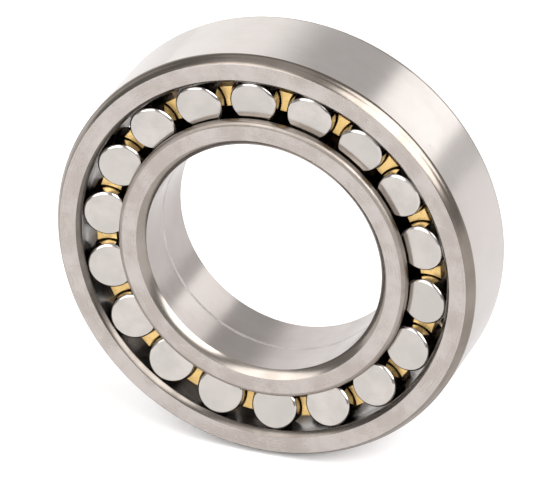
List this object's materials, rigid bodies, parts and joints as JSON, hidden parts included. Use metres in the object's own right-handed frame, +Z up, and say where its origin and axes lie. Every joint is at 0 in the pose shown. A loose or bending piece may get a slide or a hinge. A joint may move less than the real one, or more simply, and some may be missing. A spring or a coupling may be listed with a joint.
{
  "type": "spherical roller bearing",
  "caption": "Double-row spherical roller bearing: thick outer ring with a spherical raceway, ribbed inner ring, barrel rollers in two rows and a machined brass prong cage.",
  "frame": {"origin": "centre of the bearing, on its axis and on its middle plane", "axes": "+Y along the bearing's axis, from the front side face (-Y) to the back side face; +Z up, with the bearing standing on its rim; +X to the right seen from the front"},
  "size_m": [0.16, 0.04, 0.16],
  "materials": {
    "ring_steel": "ground bearing steel, satin, warm grey",
    "roller_steel": "finely ground bearing steel, pale and even",
    "guide_ring_steel": "turned steel, satin",
    "cage_brass": "machined brass, satin"
  },
  "bodies": {
    "outer_ring": {"outer_ring": "ring_steel"},
    "guide_ring": {"guide_ring": "guide_ring_steel"},
    "inner_ring": {"inner_ring": "ring_steel"},
    "cage": {"cage": "cage_brass"},
    "roller_front_01": {"roller_front_01": "roller_steel"},
    "roller_front_02": {"roller_front_02": "roller_steel"},
    "roller_front_03": {"roller_front_03": "roller_steel"},
    "roller_front_04": {"roller_front_04": "roller_steel"},
    "roller_front_05": {"roller_front_05": "roller_steel"},
    "roller_front_06": {"roller_front_06": "roller_steel"},
    "roller_front_07": {"roller_front_07": "roller_steel"},
    "roller_front_08": {"roller_front_08": "roller_steel"},
    "roller_front_09": {"roller_front_09": "roller_steel"},
    "roller_front_10": {"roller_front_10": "roller_steel"},
    "roller_front_11": {"roller_front_11": "roller_steel"},
    "roller_front_12": {"roller_front_12": "roller_steel"},
    "roller_front_13": {"roller_front_13": "roller_steel"},
    "roller_front_14": {"roller_front_14": "roller_steel"},
    "roller_front_15": {"roller_front_15": "roller_steel"},
    "roller_front_16": {"roller_front_16": "roller_steel"},
    "roller_front_17": {"roller_front_17": "roller_steel"},
    "roller_front_18": {"roller_front_18": "roller_steel"},
    "roller_back_01": {"roller_back_01": "roller_steel"},
    "roller_back_02": {"roller_back_02": "roller_steel"},
    "roller_back_03": {"roller_back_03": "roller_steel"},
    "roller_back_04": {"roller_back_04": "roller_steel"},
    "roller_back_05": {"roller_back_05": "roller_steel"},
    "roller_back_06": {"roller_back_06": "roller_steel"},
    "roller_back_07": {"roller_back_07": "roller_steel"},
    "roller_back_08": {"roller_back_08": "roller_steel"},
    "roller_back_09": {"roller_back_09": "roller_steel"},
    "roller_back_10": {"roller_back_10": "roller_steel"},
    "roller_back_11": {"roller_back_11": "roller_steel"},
    "roller_back_12": {"roller_back_12": "roller_steel"},
    "roller_back_13": {"roller_back_13": "roller_steel"},
    "roller_back_14": {"roller_back_14": "roller_steel"},
    "roller_back_15": {"roller_back_15": "roller_steel"},
    "roller_back_16": {"roller_back_16": "roller_steel"},
    "roller_back_17": {"roller_back_17": "roller_steel"},
    "roller_back_18": {"roller_back_18": "roller_steel"}
  },
  "joints": [
    {"name": "self_aligning_tilt", "type": "hinge", "parent": "outer_ring", "child": "guide_ring", "pos_m": [0, 0, 0], "axis": [1, 0, 0], "range_deg": [-2, 2]},
    {"name": "inner_ring_spin", "type": "hinge", "parent": "guide_ring", "child": "inner_ring", "pos_m": [0, 0, 0], "axis": [0, 1, 0], "continuous": true},
    {"name": "cage_spin", "type": "hinge", "parent": "guide_ring", "child": "cage", "pos_m": [0, 0, 0], "axis": [0, 1, 0], "continuous": true},
    {"name": "roller_front_01_spin", "type": "hinge", "parent": "cage", "child": "roller_front_01", "pos_m": [0.06027, -0.01, 0.01475], "axis": [0.1545, 0.9873, 0.0378], "continuous": true},
    {"name": "roller_front_02_spin", "type": "hinge", "parent": "cage", "child": "roller_front_02", "pos_m": [0.05159, -0.01, 0.03447], "axis": [0.1323, 0.9873, 0.0884], "continuous": true},
    {"name": "roller_front_03_spin", "type": "hinge", "parent": "cage", "child": "roller_front_03", "pos_m": [0.03669, -0.01, 0.05004], "axis": [0.0941, 0.9873, 0.1283], "continuous": true},
    {"name": "roller_front_04_spin", "type": "hinge", "parent": "cage", "child": "roller_front_04", "pos_m": [0.01736, -0.01, 0.05957], "axis": [0.0445, 0.9873, 0.1528], "continuous": true},
    {"name": "roller_front_05_spin", "type": "hinge", "parent": "cage", "child": "roller_front_05", "pos_m": [-0.00406, -0.01, 0.06192], "axis": [-0.0104, 0.9873, 0.1588], "continuous": true},
    {"name": "roller_front_06_spin", "type": "hinge", "parent": "cage", "child": "roller_front_06", "pos_m": [-0.02499, -0.01, 0.05679], "axis": [-0.0641, 0.9873, 0.1456], "continuous": true},
    {"name": "roller_front_07_spin", "type": "hinge", "parent": "cage", "child": "roller_front_07", "pos_m": [-0.04291, -0.01, 0.04482], "axis": [-0.11, 0.9873, 0.1149], "continuous": true},
    {"name": "roller_front_08_spin", "type": "hinge", "parent": "cage", "child": "roller_front_08", "pos_m": [-0.05565, -0.01, 0.02744], "axis": [-0.1427, 0.9873, 0.0704], "continuous": true},
    {"name": "roller_front_09_spin", "type": "hinge", "parent": "cage", "child": "roller_front_09", "pos_m": [-0.06168, -0.01, 0.00675], "axis": [-0.1582, 0.9873, 0.0173], "continuous": true},
    {"name": "roller_front_10_spin", "type": "hinge", "parent": "cage", "child": "roller_front_10", "pos_m": [-0.06027, -0.01, -0.01475], "axis": [-0.1545, 0.9873, -0.0378], "continuous": true},
    {"name": "roller_front_11_spin", "type": "hinge", "parent": "cage", "child": "roller_front_11", "pos_m": [-0.05159, -0.01, -0.03447], "axis": [-0.1323, 0.9873, -0.0884], "continuous": true},
    {"name": "roller_front_12_spin", "type": "hinge", "parent": "cage", "child": "roller_front_12", "pos_m": [-0.03669, -0.01, -0.05004], "axis": [-0.0941, 0.9873, -0.1283], "continuous": true},
    {"name": "roller_front_13_spin", "type": "hinge", "parent": "cage", "child": "roller_front_13", "pos_m": [-0.01736, -0.01, -0.05957], "axis": [-0.0445, 0.9873, -0.1528], "continuous": true},
    {"name": "roller_front_14_spin", "type": "hinge", "parent": "cage", "child": "roller_front_14", "pos_m": [0.00406, -0.01, -0.06192], "axis": [0.0104, 0.9873, -0.1588], "continuous": true},
    {"name": "roller_front_15_spin", "type": "hinge", "parent": "cage", "child": "roller_front_15", "pos_m": [0.02499, -0.01, -0.05679], "axis": [0.0641, 0.9873, -0.1456], "continuous": true},
    {"name": "roller_front_16_spin", "type": "hinge", "parent": "cage", "child": "roller_front_16", "pos_m": [0.04291, -0.01, -0.04482], "axis": [0.11, 0.9873, -0.1149], "continuous": true},
    {"name": "roller_front_17_spin", "type": "hinge", "parent": "cage", "child": "roller_front_17", "pos_m": [0.05565, -0.01, -0.02744], "axis": [0.1427, 0.9873, -0.0704], "continuous": true},
    {"name": "roller_front_18_spin", "type": "hinge", "parent": "cage", "child": "roller_front_18", "pos_m": [0.06168, -0.01, -0.00675], "axis": [0.1582, 0.9873, -0.0173], "continuous": true},
    {"name": "roller_back_01_spin", "type": "hinge", "parent": "cage", "child": "roller_back_01", "pos_m": [0.05679, 0.01, 0.02499], "axis": [-0.1456, 0.9873, -0.0641], "continuous": true},
    {"name": "roller_back_02_spin", "type": "hinge", "parent": "cage", "child": "roller_back_02", "pos_m": [0.04482, 0.01, 0.04291], "axis": [-0.1149, 0.9873, -0.11], "continuous": true},
    {"name": "roller_back_03_spin", "type": "hinge", "parent": "cage", "child": "roller_back_03", "pos_m": [0.02744, 0.01, 0.05565], "axis": [-0.0704, 0.9873, -0.1427], "continuous": true},
    {"name": "roller_back_04_spin", "type": "hinge", "parent": "cage", "child": "roller_back_04", "pos_m": [0.00675, 0.01, 0.06168], "axis": [-0.0173, 0.9873, -0.1582], "continuous": true},
    {"name": "roller_back_05_spin", "type": "hinge", "parent": "cage", "child": "roller_back_05", "pos_m": [-0.01475, 0.01, 0.06027], "axis": [0.0378, 0.9873, -0.1545], "continuous": true},
    {"name": "roller_back_06_spin", "type": "hinge", "parent": "cage", "child": "roller_back_06", "pos_m": [-0.03447, 0.01, 0.05159], "axis": [0.0884, 0.9873, -0.1323], "continuous": true},
    {"name": "roller_back_07_spin", "type": "hinge", "parent": "cage", "child": "roller_back_07", "pos_m": [-0.05004, 0.01, 0.03669], "axis": [0.1283, 0.9873, -0.0941], "continuous": true},
    {"name": "roller_back_08_spin", "type": "hinge", "parent": "cage", "child": "roller_back_08", "pos_m": [-0.05957, 0.01, 0.01736], "axis": [0.1528, 0.9873, -0.0445], "continuous": true},
    {"name": "roller_back_09_spin", "type": "hinge", "parent": "cage", "child": "roller_back_09", "pos_m": [-0.06192, 0.01, -0.00406], "axis": [0.1588, 0.9873, 0.0104], "continuous": true},
    {"name": "roller_back_10_spin", "type": "hinge", "parent": "cage", "child": "roller_back_10", "pos_m": [-0.05679, 0.01, -0.02499], "axis": [0.1456, 0.9873, 0.0641], "continuous": true},
    {"name": "roller_back_11_spin", "type": "hinge", "parent": "cage", "child": "roller_back_11", "pos_m": [-0.04482, 0.01, -0.04291], "axis": [0.1149, 0.9873, 0.11], "continuous": true},
    {"name": "roller_back_12_spin", "type": "hinge", "parent": "cage", "child": "roller_back_12", "pos_m": [-0.02744, 0.01, -0.05565], "axis": [0.0704, 0.9873, 0.1427], "continuous": true},
    {"name": "roller_back_13_spin", "type": "hinge", "parent": "cage", "child": "roller_back_13", "pos_m": [-0.00675, 0.01, -0.06168], "axis": [0.0173, 0.9873, 0.1582], "continuous": true},
    {"name": "roller_back_14_spin", "type": "hinge", "parent": "cage", "child": "roller_back_14", "pos_m": [0.01475, 0.01, -0.06027], "axis": [-0.0378, 0.9873, 0.1545], "continuous": true},
    {"name": "roller_back_15_spin", "type": "hinge", "parent": "cage", "child": "roller_back_15", "pos_m": [0.03447, 0.01, -0.05159], "axis": [-0.0884, 0.9873, 0.1323], "continuous": true},
    {"name": "roller_back_16_spin", "type": "hinge", "parent": "cage", "child": "roller_back_16", "pos_m": [0.05004, 0.01, -0.03669], "axis": [-0.1283, 0.9873, 0.0941], "continuous": true},
    {"name": "roller_back_17_spin", "type": "hinge", "parent": "cage", "child": "roller_back_17", "pos_m": [0.05957, 0.01, -0.01736], "axis": [-0.1528, 0.9873, 0.0445], "continuous": true},
    {"name": "roller_back_18_spin", "type": "hinge", "parent": "cage", "child": "roller_back_18", "pos_m": [0.06192, 0.01, 0.00406], "axis": [-0.1588, 0.9873, -0.0104], "continuous": true}
  ],
  "couplings": [
    {"joint": "cage_spin", "follows": "inner_ring_spin", "ratio": 0.4284},
    {"joint": "roller_front_01_spin", "follows": "inner_ring_spin", "ratio": -3.3765},
    {"joint": "roller_front_02_spin", "follows": "inner_ring_spin", "ratio": -3.3765},
    {"joint": "roller_front_03_spin", "follows": "inner_ring_spin", "ratio": -3.3765},
    {"joint": "roller_front_04_spin", "follows": "inner_ring_spin", "ratio": -3.3765},
    {"joint": "roller_front_05_spin", "follows": "inner_ring_spin", "ratio": -3.3765},
    {"joint": "roller_front_06_spin", "follows": "inner_ring_spin", "ratio": -3.3765},
    {"joint": "roller_front_07_spin", "follows": "inner_ring_spin", "ratio": -3.3765},
    {"joint": "roller_front_08_spin", "follows": "inner_ring_spin", "ratio": -3.3765},
    {"joint": "roller_front_09_spin", "follows": "inner_ring_spin", "ratio": -3.3765},
    {"joint": "roller_front_10_spin", "follows": "inner_ring_spin", "ratio": -3.3765},
    {"joint": "roller_front_11_spin", "follows": "inner_ring_spin", "ratio": -3.3765},
    {"joint": "roller_front_12_spin", "follows": "inner_ring_spin", "ratio": -3.3765},
    {"joint": "roller_front_13_spin", "follows": "inner_ring_spin", "ratio": -3.3765},
    {"joint": "roller_front_14_spin", "follows": "inner_ring_spin", "ratio": -3.3765},
    {"joint": "roller_front_15_spin", "follows": "inner_ring_spin", "ratio": -3.3765},
    {"joint": "roller_front_16_spin", "follows": "inner_ring_spin", "ratio": -3.3765},
    {"joint": "roller_front_17_spin", "follows": "inner_ring_spin", "ratio": -3.3765},
    {"joint": "roller_front_18_spin", "follows": "inner_ring_spin", "ratio": -3.3765},
    {"joint": "roller_back_01_spin", "follows": "inner_ring_spin", "ratio": -3.3765},
    {"joint": "roller_back_02_spin", "follows": "inner_ring_spin", "ratio": -3.3765},
    {"joint": "roller_back_03_spin", "follows": "inner_ring_spin", "ratio": -3.3765},
    {"joint": "roller_back_04_spin", "follows": "inner_ring_spin", "ratio": -3.3765},
    {"joint": "roller_back_05_spin", "follows": "inner_ring_spin", "ratio": -3.3765},
    {"joint": "roller_back_06_spin", "follows": "inner_ring_spin", "ratio": -3.3765},
    {"joint": "roller_back_07_spin", "follows": "inner_ring_spin", "ratio": -3.3765},
    {"joint": "roller_back_08_spin", "follows": "inner_ring_spin", "ratio": -3.3765},
    {"joint": "roller_back_09_spin", "follows": "inner_ring_spin", "ratio": -3.3765},
    {"joint": "roller_back_10_spin", "follows": "inner_ring_spin", "ratio": -3.3765},
    {"joint": "roller_back_11_spin", "follows": "inner_ring_spin", "ratio": -3.3765},
    {"joint": "roller_back_12_spin", "follows": "inner_ring_spin", "ratio": -3.3765},
    {"joint": "roller_back_13_spin", "follows": "inner_ring_spin", "ratio": -3.3765},
    {"joint": "roller_back_14_spin", "follows": "inner_ring_spin", "ratio": -3.3765},
    {"joint": "roller_back_15_spin", "follows": "inner_ring_spin", "ratio": -3.3765},
    {"joint": "roller_back_16_spin", "follows": "inner_ring_spin", "ratio": -3.3765},
    {"joint": "roller_back_17_spin", "follows": "inner_ring_spin", "ratio": -3.3765},
    {"joint": "roller_back_18_spin", "follows": "inner_ring_spin", "ratio": -3.3765}
  ]
}
